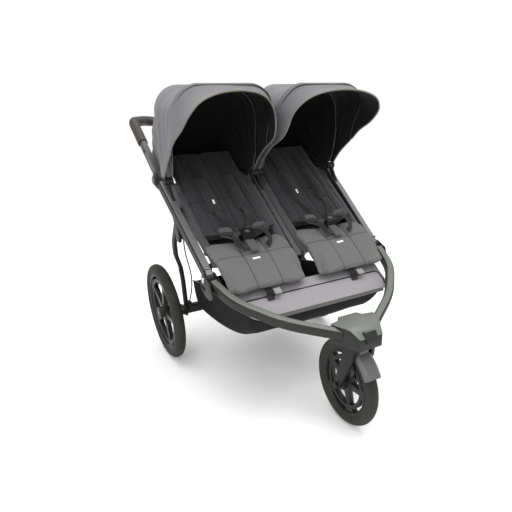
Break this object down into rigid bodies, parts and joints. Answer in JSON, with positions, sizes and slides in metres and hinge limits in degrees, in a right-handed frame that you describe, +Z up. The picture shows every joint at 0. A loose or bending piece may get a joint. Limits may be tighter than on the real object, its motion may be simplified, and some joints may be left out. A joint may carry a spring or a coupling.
{
  "type": "double jogging stroller",
  "caption": "Side-by-side double jogging stroller with a swivelling front wheel, sprung rear wheels, folding frame, twin canopies and an adjustable handlebar.",
  "frame": {"origin": "middle of the footprint, on the ground", "axes": "+Z up, -Y towards the front wheel, +X to the right as seen from the front"},
  "size_m": [0.796, 1.1829, 1.0613],
  "materials": {
    "graphite_frame": "satin dark grey lacquer",
    "handle_metal": "matte black lacquer",
    "black_plastic": "fine-textured black moulding",
    "grey_plastic": "textured dark grey moulding",
    "wheel_plastic": "black glass-filled nylon",
    "tyre_rubber": "worn matte rubber",
    "bright_steel": "zinc-plated steel",
    "grip_foam": "dark brown stitched grip cover",
    "cable_sheath": "black cable sheath",
    "seat_cloth": "quilted charcoal cloth",
    "liner_cloth": "black lining cloth",
    "canopy_cloth": "dark grey woven cloth",
    "panel_cloth": "light grey coated cloth",
    "basket_cloth": "black mesh and cloth"
  },
  "bodies": {
    "chassis": {"nose_housing": "grey_plastic", "hoop_left_tube": "graphite_frame", "hoop_right_tube": "graphite_frame", "fold_gussets": "black_plastic", "hinge_pins": "bright_steel", "footwell_panel": "panel_cloth", "cargo_basket": "basket_cloth"},
    "lock_button": {"swivel_lock_button": "grey_plastic"},
    "fork": {"front_fork": "black_plastic", "mudguard": "grey_plastic", "front_axle": "bright_steel"},
    "front_wheel": {"front_tyre": "tyre_rubber", "front_rim": "wheel_plastic"},
    "upper_frame": {"upper_tube_left": "graphite_frame", "upper_tube_right": "graphite_frame", "fold_knuckles": "black_plastic", "pivot_housings": "black_plastic", "cross_tubes": "graphite_frame", "leg_brackets": "black_plastic", "centre_rail": "graphite_frame", "canopy_pivots": "black_plastic", "seat_pad_left": "seat_cloth", "seat_pad_right": "seat_cloth", "seat_tubs": "liner_cloth", "seat_clips": "black_plastic", "harness_pads": "seat_cloth", "harness_buckles": "black_plastic", "canopy_rear_left": "canopy_cloth", "canopy_rear_right": "canopy_cloth"},
    "rear_frame": {"rear_leg_left": "graphite_frame", "rear_leg_right": "graphite_frame", "axle_beam": "graphite_frame", "suspension_blocks": "black_plastic", "brake_cables": "cable_sheath"},
    "arm_left": {"swing_arm_left": "black_plastic", "rear_axle_left": "bright_steel"},
    "arm_right": {"swing_arm_right": "black_plastic", "rear_axle_right": "bright_steel"},
    "wheel_left": {"rear_tyre_left": "tyre_rubber", "rear_rim_left": "wheel_plastic"},
    "wheel_right": {"rear_tyre_right": "tyre_rubber", "rear_rim_right": "wheel_plastic"},
    "release_left": {"release_button_left": "grey_plastic"},
    "release_right": {"release_button_right": "grey_plastic"},
    "pedal": {"brake_pedal": "black_plastic"},
    "handle": {"handlebar": "handle_metal", "handle_grips": "grip_foam"},
    "twist_grip": {"brake_twist_grip": "grip_foam"},
    "tilt_left": {"tilt_button_left": "grey_plastic"},
    "tilt_right": {"tilt_button_right": "grey_plastic"},
    "back_left": {"backrest_left": "liner_cloth", "shoulder_pads_left": "seat_cloth"},
    "back_right": {"backrest_right": "liner_cloth", "shoulder_pads_right": "seat_cloth"},
    "hood_left": {"canopy_front_left": "canopy_cloth"},
    "hood_right": {"canopy_front_right": "canopy_cloth"},
    "visor_left_body": {"visor_left": "canopy_cloth"},
    "visor_right_body": {"visor_right": "canopy_cloth"},
    "buckle_left": {"buckle_button_left": "grey_plastic"},
    "buckle_right": {"buckle_button_right": "grey_plastic"}
  },
  "joints": [
    {"name": "frame_fold", "type": "hinge", "parent": "chassis", "child": "upper_frame", "pos_m": [0, -0.1355, 0.495], "axis": [-1, 0, 0], "range_deg": [0, 95], "deforming": ["cargo_basket"]},
    {"name": "rear_frame_fold", "type": "hinge", "parent": "upper_frame", "child": "rear_frame", "pos_m": [0, 0.1545, 0.652], "axis": [1, 0, 0], "range_deg": [0, 23.75]},
    {"name": "front_swivel", "type": "hinge", "parent": "chassis", "child": "fork", "pos_m": [0, -0.5015, 0.333], "axis": [0, 0, 1], "continuous": true},
    {"name": "front_wheel_spin", "type": "hinge", "parent": "fork", "child": "front_wheel", "pos_m": [0, -0.4365, 0.155], "axis": [1, 0, 0], "continuous": true},
    {"name": "swivel_lock_press", "type": "slide", "parent": "chassis", "child": "lock_button", "axis": [0, 0.8321, -0.5547], "range_m": [0, 0.0035], "stiffness_N_per_m": 400},
    {"name": "suspension_left", "type": "hinge", "parent": "rear_frame", "child": "arm_left", "pos_m": [0, 0.2825, 0.214], "axis": [1, 0, 0], "range_deg": [-4, 7], "stiffness_Nm_per_rad": 260, "springref_deg": -0.86},
    {"name": "wheel_left_spin", "type": "hinge", "parent": "arm_left", "child": "wheel_left", "pos_m": [0, 0.3545, 0.2], "axis": [1, 0, 0], "continuous": true},
    {"name": "release_left_press", "type": "slide", "parent": "wheel_left", "child": "release_left", "axis": [1, 0, 0], "range_m": [0, 0.003], "stiffness_N_per_m": 300},
    {"name": "recline_left", "type": "hinge", "parent": "upper_frame", "child": "back_left", "pos_m": [0, -0.0375, 0.548], "axis": [1, 0, 0], "range_deg": [0, 32]},
    {"name": "hood_left_fold", "type": "hinge", "parent": "upper_frame", "child": "hood_left", "pos_m": [0, 0.1765, 0.756], "axis": [-1, 0, 0], "range_deg": [0, 45]},
    {"name": "visor_left_flip", "type": "hinge", "parent": "hood_left", "child": "visor_left_body", "pos_m": [0, 0.0575, 0.862], "axis": [-1, 0, 0], "range_deg": [0, 26]},
    {"name": "tilt_left_press", "type": "slide", "parent": "upper_frame", "child": "tilt_left", "axis": [1, 0, 0], "range_m": [0, 0.0035], "stiffness_N_per_m": 400},
    {"name": "buckle_left_press", "type": "slide", "parent": "upper_frame", "child": "buckle_left", "axis": [0, 0.2419, -0.9703], "range_m": [0, 0.0015], "stiffness_N_per_m": 300},
    {"name": "suspension_right", "type": "hinge", "parent": "rear_frame", "child": "arm_right", "pos_m": [0, 0.2825, 0.214], "axis": [1, 0, 0], "range_deg": [-4, 7], "stiffness_Nm_per_rad": 260, "springref_deg": -0.86},
    {"name": "wheel_right_spin", "type": "hinge", "parent": "arm_right", "child": "wheel_right", "pos_m": [0, 0.3545, 0.2], "axis": [1, 0, 0], "continuous": true},
    {"name": "release_right_press", "type": "slide", "parent": "wheel_right", "child": "release_right", "axis": [-1, 0, 0], "range_m": [0, 0.003], "stiffness_N_per_m": 300},
    {"name": "recline_right", "type": "hinge", "parent": "upper_frame", "child": "back_right", "pos_m": [0, -0.0375, 0.548], "axis": [1, 0, 0], "range_deg": [0, 32]},
    {"name": "hood_right_fold", "type": "hinge", "parent": "upper_frame", "child": "hood_right", "pos_m": [0, 0.1765, 0.756], "axis": [-1, 0, 0], "range_deg": [0, 45]},
    {"name": "visor_right_flip", "type": "hinge", "parent": "hood_right", "child": "visor_right_body", "pos_m": [0, 0.0575, 0.862], "axis": [-1, 0, 0], "range_deg": [0, 26]},
    {"name": "tilt_right_press", "type": "slide", "parent": "upper_frame", "child": "tilt_right", "axis": [-1, 0, 0], "range_m": [0, 0.0035], "stiffness_N_per_m": 400},
    {"name": "buckle_right_press", "type": "slide", "parent": "upper_frame", "child": "buckle_right", "axis": [0, 0.2419, -0.9703], "range_m": [0, 0.0015], "stiffness_N_per_m": 300},
    {"name": "handle_tilt", "type": "hinge", "parent": "upper_frame", "child": "handle", "pos_m": [0, 0.2445, 0.752], "axis": [1, 0, 0], "range_deg": [-38, 12]},
    {"name": "brake_twist", "type": "hinge", "parent": "handle", "child": "twist_grip", "pos_m": [0, 0.5715, 0.906], "axis": [1, 0, 0], "range_deg": [0, 60]},
    {"name": "brake_pedal_press", "type": "hinge", "parent": "rear_frame", "child": "pedal", "pos_m": [0.15, 0.3615, 0.204], "axis": [-1, 0, 0], "range_deg": [0, 25], "stiffness_Nm_per_rad": 3, "springref_deg": -11.46}
  ],
  "couplings": [
    {"joint": "rear_frame_fold", "follows": "frame_fold", "ratio": 0.25}
  ]
}
